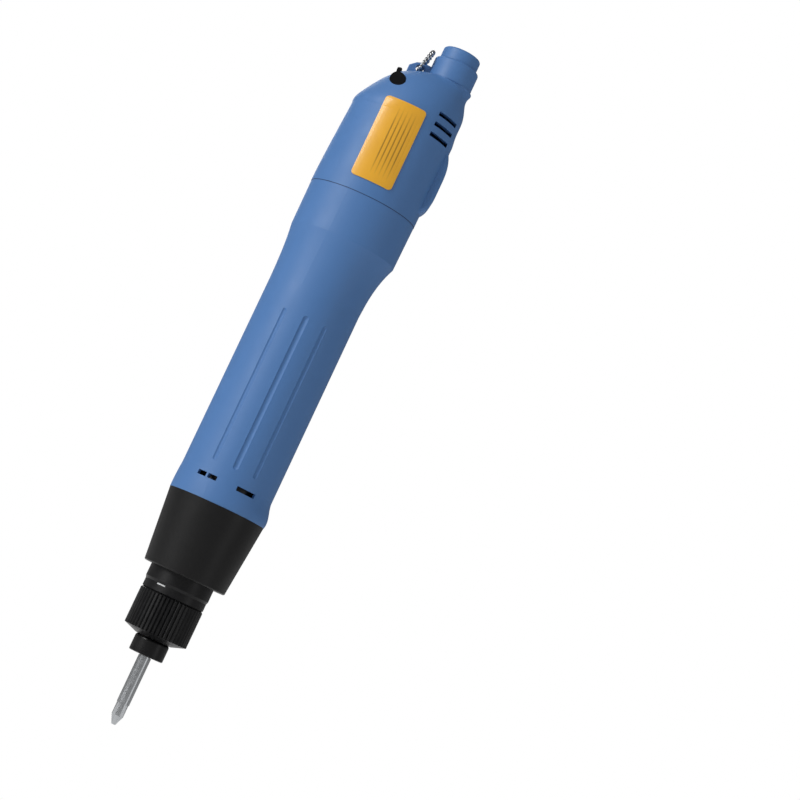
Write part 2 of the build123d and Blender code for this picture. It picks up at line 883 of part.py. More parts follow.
def head_rows():
    """Sections of the head from its seam to the root of the neck: height, left, right and depth."""
    rows = [(grip_z1, head_left, head_right - 0.1, head_depth),
            (grip_z1 + 0.35 * dome_start, head_left - 0.3, head_right, head_depth),
            (grip_z1 + 0.65 * dome_start, head_left - 0.8, head_right + 0.1, head_depth - 0.1),
            (dome_z0, head_left - 1.4, head_right + 0.2, head_depth - 0.4)]
    for rise, left, right, depth in ((0.17, 0.9, 0.99, 0.965), (0.36, 0.78, 0.985, 0.9),
                                     (0.53, 0.66, 0.975, 0.82), (0.68, 0.53, 0.935, 0.73),
                                     (0.84, 0.34, 0.895, 0.585)):
        rows.append((dome_z0 + rise * dome_height, left * head_left, right * head_right, depth * head_depth))
    shoulder = neck_radius + neck_step
    rows.append((dome_z1, shoulder - neck_x, neck_x + shoulder, shoulder))
    return rows


def head_form(grow=0.0):
    rows = []
    for z, left, right, depth in head_rows():
        drop = -grow if grow < 0 and z > dome_z0 else 0.0
        rows.append(oval(z - drop, left, right, depth, grow))
    return loft(rows[:4]) + loft(rows[3:])


def head_pad():
    """The raised pad on the head's socket side, with soft ends."""
    half = pad_width / 2
    z0 = grip_z1 + pad_start
    z1 = z0 + pad_length
    outline = Spline((head_right - 3, z0), (head_right + 0.55 * pad_rise, z0 + 0.13 * pad_length),
                     (head_right + pad_rise, z0 + 0.4 * pad_length),
                     (head_right + 0.75 * pad_rise, z0 + 0.72 * pad_length), (head_right - 3, z1))
    face = make_face(outline + Line(outline @ 1, outline @ 0))
    slab = extrude(Plane.XZ * face, amount=half, both=True)
    return fillet(slab.edges().filter_by(GeomType.BSPLINE), 1.6)


def lug():
    """The hanger's lug, which carries the ring's hole."""
    half = lug_thickness / 2
    left = rocker_x + 1.5
    top = lug_z + 2.7
    root = lug_z - 6.8
    face = make_face(Polyline((left, root), (left, lug_z - 0.2), (left + 2.3, lug_z + 1.9), (lug_x, top),
                              (neck_x - neck_radius + 2, top), (neck_x - neck_radius + 2, root), close=True))
    slab = extrude(Plane.XZ * face, amount=half, both=True)
    slab = fillet(slab.faces().filter_by(Axis.Y).edges().sort_by(Axis.Z)[2:], 0.4)
    return slab - cross_rod(lug_hole_radius, lug_x, lug_z, -half, half)


def head_vents():
    """Level slots through the front wall beside the socket."""
    cuts = []
    for row in range(head_vent_count):
        z0 = grip_z1 + head_vent_start + row * head_vent_pitch
        cuts.append(block(head_vent_x, head_right - 2.3, -head_depth, 0, z0, z0 + head_vent_height))
    return cuts


def boss_places():
    right = head_right - 5.7
    left = -(head_left - 5.8)
    return [(left, grip_z1 + 7.4), (right, grip_z1 + 7.4), (left, grip_z1 + 31.4), (right, grip_z1 + 24.4)]


def head_shell():
    """The whole hollow head, before it is parted."""
    body = head_form() + rod(neck_radius, dome_z1 - 6, neck_z1, neck_x)
    top = body.edges().filter_by(GeomType.CIRCLE).sort_by(Axis.Z)[-1]
    body = fillet(top, neck_rounding)
    body += head_pad()
    body += lug()
    body -= head_form(-head_wall)
    body -= rod(neck_radius - 2.0, dome_z1 - 12, neck_z1, neck_x)
    skin = head_form(-0.5)
    for x, z in boss_places():
        body += cross_rod(boss_radius, x, z, -head_depth, head_depth) & skin
    rib_z = grip_z1 + lip_depth + 1
    for x in (board_x - 0.35 * board_width, board_x + 0.35 * board_width):
        rib = block(x - 0.6, x + 0.6, board_y + board_thickness, head_depth, rib_z, board_z1 - 3)
        body += rib & skin
    for cut in head_vents():
        body -= cut
    body -= cross_rod(rocker_radius + 0.06, rocker_x, rocker_z, -head_depth, head_depth)
    body -= block(rocker_x - 5.5, rocker_x + 1.5, -notch_width / 2, notch_width / 2, rocker_z + 1.5, lug_z + 6)
    return body


def seam_lip():
    """The lip that centres the head in the grip's rim, and the root that joins it to the head's wall."""
    z, left, right, depth = grip_rows()[2][-1]
    inner = oval(z - lip_depth, left, right, depth, -grip_wall - seam_fit - lip_thickness)
    outer = oval(z - lip_depth, left, right, depth, -grip_wall - seam_fit)
    root = oval(z, left, right, depth, -grip_wall + 0.9)
    lip = extrude(outer, amount=lip_depth) + extrude(root, amount=lip_depth)
    return lip - extrude(inner, amount=2 * lip_depth)


def head_halves():
    whole = head_shell() + seam_lip()
    front = whole & block(-50, 50, -50, 0, grip_z1 - 10, neck_z1 + 10)
    back = whole & block(-50, 50, 0, 50, grip_z1 - 10, neck_z1 + 10)
    for x, z in boss_places():
        front -= cross_rod(screw_radius + 0.02, x, z, screw_seat - screw_length - 1, 0)
        back -= cross_rod(screw_radius + slip_fit, x, z, 0, screw_seat)
        back -= cross_rod(screw_head_radius + slip_fit, x, z, screw_seat, head_depth)
    return front, back


def head_screws():
    screws = []
    for x, z in boss_places():
        screw = cross_rod(screw_radius, x, z, screw_seat - screw_length, screw_seat)
        head = cross_rod(screw_head_radius, x, z, screw_seat, screw_seat + screw_head_height)
        screws.append(screw + head)
    return Compound(screws)


def label_plate():
    centre_z = grip_z1 + label_rise + label_height / 2
    outline = RectangleRounded(label_width, label_height, label_corner)
    bar = extrude(Plane.XZ.offset(head_depth - 6) * Pos(label_x, centre_z) * outline, amount=8)
    return (head_form(label_thickness) - head_form()) & bar


# Cable socket

def connector_collar():
    z1 = neck_z1 + socket_collar_height
    body = rod(socket_collar_radius, neck_z1, z1, neck_x)
    body = fillet(body.edges().filter_by(GeomType.CIRCLE).sort_by(Axis.Z)[-1], 1.2)
    body += rod(neck_radius - 2.0 - running_fit, neck_z1 - socket_spigot, neck_z1, neck_x)
    return body - rod(socket_radius, neck_z1 - socket_spigot, z1, neck_x)


def contact_places():
    places = around(contact_count, contact_pitch_radius, Vertex(0, 0, 0), 18)
    return [(neck_x + place.X, place.Y) for place in places]


def connector_insert():
    z1 = neck_z1 - socket_spigot
    z0 = z1 - socket_insert_height
    body = rod(neck_radius - 2.0 - slip_fit, z0, z1, neck_x)
    for x, y in contact_places():
        body -= rod(contact_radius, z0, z1, x, y)
    return body


def connector_contacts():
    z1 = neck_z1 - socket_spigot
    z0 = z1 - socket_insert_height - 2.5
    return Compound([rod(contact_radius, z0, z1, x, y) - rod(contact_radius / 2, z1 - 5, z1, x, y)
                     for x, y in contact_places()])


# Rocker, ring and board

def direction_rocker():
    body = cross_rod(rocker_radius, 0, 0, -rocker_half_length, rocker_half_length)
    nub = block(-nub_thickness / 2, nub_thickness / 2, -nub_width / 2, nub_width / 2, 1, nub_reach)
    nub = fillet(nub.edges().filter_by(Axis.Y).sort_by(Axis.Z)[-2:], 0.7)
    finger = block(-finger_thickness / 2, finger_thickness / 2, -2.4, -0.6, -finger_reach, -1)
    body += Rot(Y=nub_lean) * nub
    body += Rot(Y=rocker_travel / 2) * finger
    return Pos(rocker_x, 0, rocker_z) * body


def direction_switch():
    body = block(rocker_x - 4.2, rocker_x + 4.2, -4.2, board_y, rocker_z - 14, rocker_z - 6.2)
    return body - block(rocker_x - 3.4, rocker_x + 3.4, -2.8, -0.2, rocker_z - 9.2, rocker_z - 6.2)


def hang_ring():
    """The ring lies in the plane of Y and its lean, with its lowest point in the lug's hole."""
    section = Circle(ring_wire_radius)
    loops = []
    for side in (-0.85, 0.85):
        around_x = revolve(Pos(side * ring_wire_radius, 0, ring_radius) * Rot(Y=0) * (Plane.XZ * section), Axis.X)
        loops.append(around_x)
    ring = Pos(0, 0, ring_radius - ring_slack) * (loops[0] + loops[1])
    return Pos(lug_x, 0, lug_z) * Rot(Y=ring_lean) * ring


def controller_board():
    half = board_width / 2
    return block(board_x - half, board_x + half, board_y, board_y + board_thickness, board_z0, board_z1)


def board_parts():
    y = board_y
    z = board_z0
    can = cross_rod(4.0, board_x + 5.0, z + 12, y - 9.0, y)
    chips = [block(board_x - 9, board_x - 1, y - 4.5, y, z + 4 + 11 * i, z + 13 + 11 * i) for i in range(3)]
    driver = block(board_x + 1, board_x + 9, y - 1.6, y, z + 22, z + 30)
    plug = block(board_x - 3, board_x + 9, y - 6.0, y, z + 50, z + 56)
    return Compound([can] + chips + [driver, plug])


head_front, head_back = head_halves()
nodes = {
    "bit": bit(),
    "detent_balls": detent_balls(),
    "spindle": spindle(),
    "collar_clip": collar_clip(),
    "spindle_clip": spindle_clip(),
    "bit_collar": bit_collar(),
    "collar_spring": collar_spring(),
    "spindle_bush": spindle_bush(),
    "torque_nut": torque_nut(),
    "spring_seat": spring_seat(),
    "clutch_spring": clutch_spring(),
    "pressure_plate": pressure_plate(),
    "clutch_balls": clutch_balls(),
    "clutch_housing": clutch_housing(),
    "output_bearing_outer": output_bearing_outer(),
    "output_bearing_inner": output_bearing_inner(),
    "output_carrier": output_carrier(),
    "output_ring_gear": output_ring_gear(),
    "input_carrier": input_carrier(),
    "input_ring_gear": input_ring_gear(),
    "motor_plate": motor_plate(),
    "motor_screws": motor_screws(),
    "motor_can": motor_can(),
    "motor_magnets": motor_magnets(),
    "motor_front_bearing": motor_front_bearing(),
    "motor_rear_bearing": motor_rear_bearing(),
    "motor_end_bell": motor_end_bell(),
    "motor_brushes": motor_brushes(),
    "rotor_shaft": rotor_shaft(),
    "rotor_pinion": rotor_pinion(),
    "rotor_core": rotor_core(),
    "rotor_windings": rotor_windings(),
    "rotor_commutator": rotor_commutator(),
    "start_rod": start_rod(),
    "rod_cap": rod_cap(),
    "start_spring": start_spring(),
    "switch_bracket": switch_bracket(),
    "start_switch": start_switch(),
    "start_plunger": start_plunger(),
    "nose_housing": nose_housing(),
    "grip": grip(),
    "head_front": head_front,
    "head_back": head_back,
    "head_screws": head_screws(),
    "label_plate": label_plate(),
    "connector_collar": connector_collar(),
    "connector_insert": connector_insert(),
    "connector_contacts": connector_contacts(),
    "direction_rocker": direction_rocker(),
    "direction_switch": direction_switch(),
    "hang_ring": hang_ring(),
    "controller_board": controller_board(),
    "board_parts": board_parts(),
}
for index in range(planet_count):
    nodes[f"output_planet_{index + 1}"] = planet(index, output_gear_z0)
    nodes[f"input_planet_{index + 1}"] = planet(index, input_gear_z0)

for name, solid in nodes.items():
    export_step(solid, f"parts/{name}.step")
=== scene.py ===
import json
import math

import bpy
from mathutils import Matrix, Vector


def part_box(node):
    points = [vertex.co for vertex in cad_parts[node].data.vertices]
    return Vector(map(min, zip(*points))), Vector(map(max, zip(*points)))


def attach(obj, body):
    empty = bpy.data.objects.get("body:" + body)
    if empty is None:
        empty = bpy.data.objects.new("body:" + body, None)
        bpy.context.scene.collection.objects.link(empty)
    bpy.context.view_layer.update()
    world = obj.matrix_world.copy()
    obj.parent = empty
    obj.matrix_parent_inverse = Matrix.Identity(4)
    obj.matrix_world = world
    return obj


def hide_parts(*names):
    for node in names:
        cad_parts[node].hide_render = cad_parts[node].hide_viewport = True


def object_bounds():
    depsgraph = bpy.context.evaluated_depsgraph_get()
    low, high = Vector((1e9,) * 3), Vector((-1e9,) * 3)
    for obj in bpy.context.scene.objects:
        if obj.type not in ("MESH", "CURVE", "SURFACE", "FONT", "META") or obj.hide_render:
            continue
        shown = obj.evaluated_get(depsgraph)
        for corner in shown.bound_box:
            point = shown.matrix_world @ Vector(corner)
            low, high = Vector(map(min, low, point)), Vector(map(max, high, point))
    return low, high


# An electric torque screwdriver, upright with its bit down and its label facing -Y, in metres.

MM = 0.001

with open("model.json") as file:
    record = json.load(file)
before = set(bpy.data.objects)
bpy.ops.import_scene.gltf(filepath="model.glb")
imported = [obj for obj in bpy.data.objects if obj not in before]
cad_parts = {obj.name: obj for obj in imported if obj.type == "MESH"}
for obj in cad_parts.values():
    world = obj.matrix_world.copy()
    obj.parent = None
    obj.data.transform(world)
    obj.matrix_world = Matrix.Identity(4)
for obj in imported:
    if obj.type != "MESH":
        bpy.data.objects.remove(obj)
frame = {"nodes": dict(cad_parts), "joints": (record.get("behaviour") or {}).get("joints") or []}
nodes = frame["nodes"]
cad_low, cad_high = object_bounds()

# Places and sizes that the frame gives
label_low, label_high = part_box("label_plate")
screws_low, screws_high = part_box("head_screws")
ring_pivot = [joint for joint in frame["joints"] if joint["name"] == "hang_ring_swing"][0]["pos_m"]
seam_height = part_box("grip")[1][2]
nut_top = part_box("torque_nut")[1][2]

# Index of refraction of the black skins: a little under the usual 1.5, to match how dark they look
skin_ior = 1.4

# The blue housing, and the hairlines where its shells meet, sunk by so many heights of its grain
housing_blue = "4a76ae"
seam_blue = "223451"
blue_grain = 0.45 * MM
blue_depth = 0.012 * MM
seam_sink = -6.0
ring_seam_half = 0.16 * MM
side_seam_half = 0.12 * MM

# The label's ruled lines, across from its middle
label_yellow = "e6a92c"
rule_brown = "7a5a1c"
rule_pitch = 0.85 * MM
rule_half = 0.34 * MM
rules_left = -2.9 * MM
rules_right = 6.6 * MM
label_margin = 2.5 * MM
rule_strength = 0.75

# The hang ring: its lay, how far it stands above its pivot, and how it leans towards the neck at rest
ring_turns = 9
points_per_turn = 30
ring_lift = 4.1 * MM
ring_lean = math.radians(12.5)

# The head's screws, in X and Z on its back wall
screw_head_height = 1.6 * MM
screw_places = ((-14.5, 197.0), (17.5, 197.0), (-14.5, 221.0), (17.5, 214.0))

# The painted index line, on the clutch housing's barrel, with its turn in degrees
barrel_radius = 12.4 * MM
paint_thickness = 0.05 * MM
index_height = 26.0 * MM
index_width = 0.5 * MM
index_start = -127
index_sweep = 16.5
index_steps = 8

# The black ring that paints the shade in the slit above the nut, and how far its middle lies above the nut
slit_shade_radius = 11.95 * MM
slit_shade_section = 0.09 * MM
slit_shade_rise = 0.1 * MM

# The photograph's view: from -Y and level with the nut, looking up a little, the tool leaning right
focal_length = 106.4
camera_place = (0, -0.892, 0.0186)
camera_right = Vector((0.9031, -0.0978, 0.4181))
camera_up = Vector((-0.4263, -0.0882, 0.9003))

# The studio: a floor well below the tool, lamps round its middle, and how bright the white surround is
floor_size = 8
floor_drop = 0.12
tool_middle = (0, 0, 0.12)
surround_light = 0.42
surround_in_gloss = 0.16


def linear(hex_colour):
    """An sRGB hex colour as the linear colour that a shader takes."""
    parts = [int(hex_colour[i:i + 2], 16) / 255 for i in (0, 2, 4)]
    return [c / 12.92 if c <= 0.04045 else ((c + 0.055) / 1.055) ** 2.4 for c in parts] + [1.0]


def add(tree, kind, inputs=None, **settings):
    """One node with its settings; an input is a value, an output, or a node for its first output."""
    node = tree.nodes.new(kind)
    for name, value in settings.items():
        setattr(node, name, value)
    for socket, value in (inputs or {}).items():
        if isinstance(value, bpy.types.Node):
            value = value.outputs[0]
        if isinstance(value, bpy.types.NodeSocket):
            tree.links.new(value, node.inputs[socket])
        else:
            node.inputs[socket].default_value = value
    return node


def emptied(owner):
    """The node tree of a material or a world, with nothing in it."""
    owner.use_nodes = True
    owner.node_tree.nodes.clear()
    return owner.node_tree


def blank(name):
    """A new material, its empty tree, and the place on the piece that its patterns read."""
    made = bpy.data.materials.new(name)
    tree = emptied(made)
    return made, tree, add(tree, "ShaderNodeTexCoord").outputs["Object"]


def surfaced(tree, inputs):
    """The material's surface, from what its shader takes."""
    shader = add(tree, "ShaderNodeBsdfPrincipled", inputs)
    add(tree, "ShaderNodeOutputMaterial", {"Surface": shader})


def drifting(tree, place, colour, patch, drift):
    """A colour that drifts a little darker and lighter over patches of a size."""
    patches = add(tree, "ShaderNodeTexNoise", {"Vector": place, "Scale": 1 / patch, "Detail": 2.0})
    base = linear(colour)[:3]
    darker = [c * (1 - drift) for c in base] + [1.0]
    lighter = [min(1.0, c * (1 + drift)) for c in base] + [1.0]
    mix = add(tree, "ShaderNodeMix", {"Factor": patches, 6: darker, 7: lighter}, data_type="RGBA")
    return mix.outputs[2]


def wandering(tree, place, patch, low, high):
    """A roughness that wanders between two values over patches of a size; noise is mostly 0.3 to 0.7."""
    patches = add(tree, "ShaderNodeTexNoise", {"Vector": place, "Scale": 1 / patch, "Detail": 3.0})
    return add(tree, "ShaderNodeMapRange", {
        "Value": patches, "From Min": 0.3, "From Max": 0.7, "To Min": low, "To Max": high})


def lathe_marks(tree, place, line, squeeze, detail):
    """Rings round the spindle axis, a line apart: noise drawn out in X and Y."""
    rings = add(tree, "ShaderNodeMapping", {"Vector": place, "Scale": (squeeze, squeeze, 1.0)})
    return add(tree, "ShaderNodeTexNoise", {"Vector": rings, "Scale": 1 / line, "Detail": detail})


def near(tree, value, centre, half):
    """1 where a value lies within half of a centre, with a soft edge."""
    away = add(tree, "ShaderNodeMath", {0: value, 1: centre}, operation="SUBTRACT")
    size = add(tree, "ShaderNodeMath", {0: away}, operation="ABSOLUTE")
    return add(tree, "ShaderNodeMapRange", {
        "Value": size, "From Min": half, "From Max": 0.4 * half, "To Min": 0.0, "To Max": 1.0})


# Grains and lathe lines are a few times coarser than the real ones, which wouldn't show from the camera
def moulded(name, colour, roughness, grain, depth, drift=0.05):
    """Injection-moulded plastic from a spark-eroded mould: a fine even grain, no metal, soft gloss."""
    made, tree, place = blank(name)
    texture = add(tree, "ShaderNodeTexNoise", {
        "Vector": place, "Scale": 1 / grain, "Detail": 2.0, "Roughness": 0.6})
    surfaced(tree, {
        "Base Color": drifting(tree, place, colour, patch=30 * MM, drift=drift),
        "Roughness": wandering(tree, place, patch=6 * MM, low=roughness - 0.04, high=roughness + 0.04),
        "Normal": add(tree, "ShaderNodeBump", {"Height": texture, "Distance": depth, "Strength": 0.6}),
        "IOR": skin_ior})
    return made


def turned_metal(name, colour, roughness, line, depth, drift=0.06):
    """Metal from the lathe: fine rings round the spindle axis, a little uneven in gloss."""
    made, tree, place = blank(name)
    marks = lathe_marks(tree, place, line, squeeze=0.04, detail=3.0)
    surfaced(tree, {
        "Base Color": drifting(tree, place, colour, patch=5 * MM, drift=drift),
        "Roughness": wandering(tree, place, patch=2 * MM, low=roughness - 0.05, high=roughness + 0.06),
        "Normal": add(tree, "ShaderNodeBump", {"Height": marks, "Distance": depth, "Strength": 0.5}),
        "Metallic": 1.0})
    return made


def coated_metal(name, colour, roughness, line, depth):
    """Machined metal under a thin dark finish: the lathe's rings show through, with a dull sheen."""
    made, tree, place = blank(name)
    marks = lathe_marks(tree, place, line, squeeze=0.05, detail=2.0)
    surfaced(tree, {
        "Base Color": drifting(tree, place, colour, patch=8 * MM, drift=0.12),
        "Roughness": wandering(tree, place, patch=3 * MM, low=roughness - 0.05, high=roughness + 0.07),
        "Normal": add(tree, "ShaderNodeBump", {"Height": marks, "Distance": depth, "Strength": 0.4}),
        "IOR": skin_ior})
    return made


def seamed_blue(name, parted):
    """The blue housing's satin skin, with the hairlines where its shells meet drawn dark and sunk."""
    made, tree, place = blank(name)
    texture = add(tree, "ShaderNodeTexNoise", {
        "Vector": place, "Scale": 1 / blue_grain, "Detail": 2.0, "Roughness": 0.6})
    apart = add(tree, "ShaderNodeSeparateXYZ", {"Vector": place})
    line = near(tree, apart.outputs["Z"], centre=seam_height, half=ring_seam_half)
    if parted:
        side = near(tree, apart.outputs["Y"], centre=0.0, half=side_seam_half)
        line = add(tree, "ShaderNodeMath", {0: line, 1: side}, operation="MAXIMUM")
    skin = drifting(tree, place, housing_blue, patch=45 * MM, drift=0.035)
    colour = add(tree, "ShaderNodeMix", {"Factor": line, 6: skin, 7: linear(seam_blue)}, data_type="RGBA")
    height = add(tree, "ShaderNodeMath", {0: line, 1: seam_sink, 2: texture}, operation="MULTIPLY_ADD")
    surfaced(tree, {
        "Base Color": colour.outputs[2],
        "Roughness": wandering(tree, place, patch=9 * MM, low=0.46, high=0.56),
        "Normal": add(tree, "ShaderNodeBump", {"Height": height, "Distance": blue_depth, "Strength": 0.7}),
        "IOR": 1.5})
    return made


def printed_label(name):
    """A yellow film label under a clear coat, ruled with plain brown lines."""
    made, tree, place = blank(name)
    apart = add(tree, "ShaderNodeSeparateXYZ", {"Vector": place})
    label_middle = (label_low[0] + label_high[0]) / 2
    across = add(tree, "ShaderNodeMath", {0: apart.outputs["X"], 1: label_middle}, operation="SUBTRACT")
    ruled = add(tree, "ShaderNodeMath", {0: across, 1: rule_pitch}, operation="PINGPONG")
    label_height = (label_low[2] + label_high[2]) / 2
    half_length = (label_high[2] - label_low[2]) / 2 - label_margin
    ink = near(tree, ruled, centre=0.0, half=rule_half)
    limits = [
        add(tree, "ShaderNodeMath", {0: across, 1: rules_left}, operation="GREATER_THAN"),
        add(tree, "ShaderNodeMath", {0: across, 1: rules_right}, operation="LESS_THAN"),
        near(tree, apart.outputs["Z"], centre=label_height, half=half_length)]
    for factor in limits + [rule_strength]:
        ink = add(tree, "ShaderNodeMath", {0: ink, 1: factor}, operation="MULTIPLY")
    film = drifting(tree, place, label_yellow, patch=14 * MM, drift=0.06)
    colour = add(tree, "ShaderNodeMix", {"Factor": ink, 6: film, 7: linear(rule_brown)}, data_type="RGBA")
    surfaced(tree, {"Base Color": colour.outputs[2], "Roughness": 0.34, "Coat Weight": 0.25})
    return made


def dress(made, *names):
    """Put a finish on nodes of the frame."""
    for name in names:
        nodes[name].data.materials.clear()
        nodes[name].data.materials.append(made)


# ABS blend, moulded: a satin skin with soft broad lights, and thin dark lines where the shells part
dress(seamed_blue("blue_abs_head", True), "head_front", "head_back", "connector_collar")
dress(seamed_blue("blue_abs_grip", False), "grip")

# Polyester film, printed and clear-coated: flat warm colour under a smooth gloss
dress(printed_label("yellow_film_label"), "label_plate")

# Glass-filled nylon, moulded: near black, with a satin skin that greys in the light
dress(moulded("black_nylon_nose", "060607", roughness=0.36, grain=0.4 * MM, depth=0.01 * MM),
      "nose_housing")
dress(moulded("black_nylon_rocker", "0d0d0f", roughness=0.38, grain=0.3 * MM, depth=0.006 * MM),
      "direction_rocker")

# Steel, turned and black-oxided: a thin dark skin with a dull sheen along the lathe's rings
dress(coated_metal("black_oxide_nut", "08080a", roughness=0.34, line=0.25 * MM, depth=0.01 * MM),
      "torque_nut")
dress(coated_metal("black_oxide_collar", "08080a", roughness=0.3, line=0.2 * MM, depth=0.01 * MM),
      "bit_collar")

# Aluminium, turned and black-anodised: as dark as the nut, a little duller
dress(coated_metal("black_anodised_clutch", "09090b", roughness=0.36, line=0.3 * MM, depth=0.01 * MM),
      "clutch_housing")

# Tool steel, ground and plated: bright, with faint rings
dress(turned_metal("polished_bit_steel", "c6c9cc", roughness=0.2, line=0.6 * MM, depth=0.0002 * MM,
                   drift=0.03),
      "bit")

# Spring steel wire, drawn: bright, with faint marks
dress(turned_metal("bright_wire", "a9acb0", roughness=0.24, line=0.3 * MM, depth=0.004 * MM),
      "collar_clip", "spindle_clip", "collar_spring", "clutch_spring", "start_spring")

# Bearing steel, hardened and ground: smooth, close to a mirror
dress(turned_metal("ground_bearing_steel", "b5b8bc", roughness=0.16, line=0.2 * MM, depth=0.002 * MM),
      "detent_balls", "clutch_balls", "output_bearing_outer", "output_bearing_inner", "motor_front_bearing")

# Plain steel, turned: grey, with rings that spread the light
dress(turned_metal("turned_steel", "8d9094", roughness=0.34, line=0.25 * MM, depth=0.006 * MM),
      "spindle", "pressure_plate", "spring_seat", "output_carrier", "input_carrier", "rotor_shaft",
      "start_rod", "motor_plate", "motor_screws")

# Sintered bronze, oiled: brownish yellow, dull and even
dress(turned_metal("oiled_bronze", "a77b48", roughness=0.42, line=0.4 * MM, depth=0.008 * MM),
      "spindle_bush", "motor_rear_bearing")

# Gear steel, hobbed and hardened: darker than the turned steel
dress(turned_metal("hobbed_gear_steel", "7c8084", roughness=0.36, line=0.3 * MM, depth=0.006 * MM),
      "output_ring_gear", "input_ring_gear", "rotor_pinion",
      *[f"{stage}_planet_{i}" for stage in ("output", "input") for i in (1, 2, 3)])

# Deep-drawn steel, zinc-plated: pale, with a broad soft light
dress(turned_metal("zinc_plated_can", "a6a9ab", roughness=0.32, line=1.2 * MM, depth=0.006 * MM),
      "motor_can")

# Ferrite, pressed and fired: charcoal and matt
dress(moulded("fired_ferrite", "2b2a2a", roughness=0.6, grain=0.5 * MM, depth=0.02 * MM),
      "motor_magnets")

# Acetal, moulded: black with a waxy sheen
dress(moulded("black_acetal", "222326", roughness=0.45, grain=0.4 * MM, depth=0.006 * MM),
      "motor_end_bell", "switch_bracket", "start_switch", "start_plunger", "rod_cap", "direction_switch",
      "connector_insert")

# Carbon, pressed: a dull grey black
dress(moulded("pressed_carbon", "1c1b1b", roughness=0.55, grain=0.3 * MM, depth=0.01 * MM),
      "motor_brushes")

# Silicon steel sheets, stacked and varnished: dark, with the sheets' edges as fine lines
dress(coated_metal("varnished_laminations", "4f5356", roughness=0.4, line=0.35 * MM, depth=0.03 * MM),
      "rotor_core")

# Copper, enamelled on the windings and bare on the commutator: warm and bright, with the turns as lines
dress(turned_metal("enamelled_copper", "b06a3c", roughness=0.3, line=0.5 * MM, depth=0.06 * MM),
      "rotor_commutator", "rotor_windings")

# Brass, stamped: yellow and smooth
dress(turned_metal("stamped_brass", "b8954e", roughness=0.28, line=0.3 * MM, depth=0.004 * MM),
      "connector_contacts")

# Glass-epoxy board under solder resist: green and glossy
dress(moulded("green_solder_resist", "1f5a38", roughness=0.3, grain=0.8 * MM, depth=0.01 * MM),
      "controller_board")

# Moulded epoxy: black and matt
dress(moulded("chip_epoxy", "1d1e20", roughness=0.5, grain=0.3 * MM, depth=0.006 * MM),
      "board_parts")


def grown(name, inputs):
    """An empty Geometry Nodes tree with a geometry in and out and named inputs, each with its value."""
    tree = bpy.data.node_groups.new(name, "GeometryNodeTree")
    tree.interface.new_socket("Geometry", in_out="INPUT", socket_type="NodeSocketGeometry")
    tree.interface.new_socket("Geometry", in_out="OUTPUT", socket_type="NodeSocketGeometry")
    for label, value in inputs.items():
        kind = "NodeSocketInt" if isinstance(value, int) else "NodeSocketFloat"
        tree.interface.new_socket(label, in_out="INPUT", socket_type=kind).default_value = value
    return tree, add(tree, "NodeGroupInput").outputs


def linked(name, data):
    """A mesh, a lamp or a lens as an object of the scene."""
    made = bpy.data.objects.new(name, data)
    bpy.context.scene.collection.objects.link(made)
    return made


def harvested(tree, shape, made, points=()):
    """The tree's shape with a finish, as one plain mesh object; it starts from points, where it has any."""
    real = add(tree, "GeometryNodeRealizeInstances", {0: shape})
    smooth = add(tree, "GeometryNodeSetShadeSmooth", {0: real})
    coated = add(tree, "GeometryNodeSetMaterial", {0: smooth, "Material": made})
    add(tree, "NodeGroupOutput", {0: coated})
    seed = bpy.data.meshes.new(tree.name)
    seed.from_pydata([tuple(p) for p in points], [], [])
    holder = linked("holder", seed)
    holder.modifiers.new("grown", "NODES").node_group = tree
    reading = bpy.context.evaluated_depsgraph_get()
    mesh = bpy.data.meshes.new_from_object(holder.evaluated_get(reading))
    bpy.data.objects.remove(holder)
    return linked(tree.name, mesh)


def twisted_ring(made):
    """The hang ring: two steel strands laid round each other, closed on themselves."""
    tree, given = grown("twisted_ring", {
        "Ring Radius": 4.45 * MM, "Strand Radius": 0.52 * MM, "Lay Radius": 0.5 * MM,
        "Turns": ring_turns})
    circle = add(tree, "GeometryNodeCurvePrimitiveCircle", {
        "Resolution": ring_turns * points_per_turn, "Radius": given["Ring Radius"]})
    section = add(tree, "GeometryNodeCurvePrimitiveCircle", {
        "Resolution": 12, "Radius": given["Strand Radius"]})
    along = add(tree, "GeometryNodeSplineParameter").outputs["Factor"]
    turns = add(tree, "ShaderNodeMath", {0: along, 1: given["Turns"]}, operation="MULTIPLY")
    turn = add(tree, "ShaderNodeMath", {0: turns, 1: math.tau}, operation="MULTIPLY")
    spot = add(tree, "GeometryNodeInputPosition")
    outward = add(tree, "ShaderNodeVectorMath", {0: spot}, operation="NORMALIZE")
    strands = add(tree, "GeometryNodeJoinGeometry")
    for phase in (0.0, math.pi):
        angle = add(tree, "ShaderNodeMath", {0: turn, 1: phase}, operation="ADD")
        sine = add(tree, "ShaderNodeMath", {0: angle}, operation="SINE")
        cosine = add(tree, "ShaderNodeMath", {0: angle}, operation="COSINE")
        up = add(tree, "ShaderNodeMath", {0: sine, 1: given["Lay Radius"]}, operation="MULTIPLY")
        out = add(tree, "ShaderNodeMath", {0: cosine, 1: given["Lay Radius"]}, operation="MULTIPLY")
        rise = add(tree, "ShaderNodeCombineXYZ", {"Z": up})
        spread = add(tree, "ShaderNodeVectorMath", {0: outward, "Scale": out}, operation="SCALE")
        shift = add(tree, "ShaderNodeVectorMath", {0: rise, 1: spread}, operation="ADD")
        path = add(tree, "GeometryNodeSetPosition", {"Geometry": circle, "Offset": shift})
        strand = add(tree, "GeometryNodeCurveToMesh", {0: path, 1: section})
        tree.links.new(strand.outputs[0], strands.inputs[0])
    piece = harvested(tree, strands, made)
    stand = Matrix.Translation((0, 0, ring_lift)) @ Matrix.Rotation(math.pi / 2, 4, "Y")
    piece.data.transform(Matrix.Translation(ring_pivot) @ Matrix.Rotation(ring_lean, 4, "Y") @ stand)
    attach(piece, "ring")
    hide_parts("hang_ring")


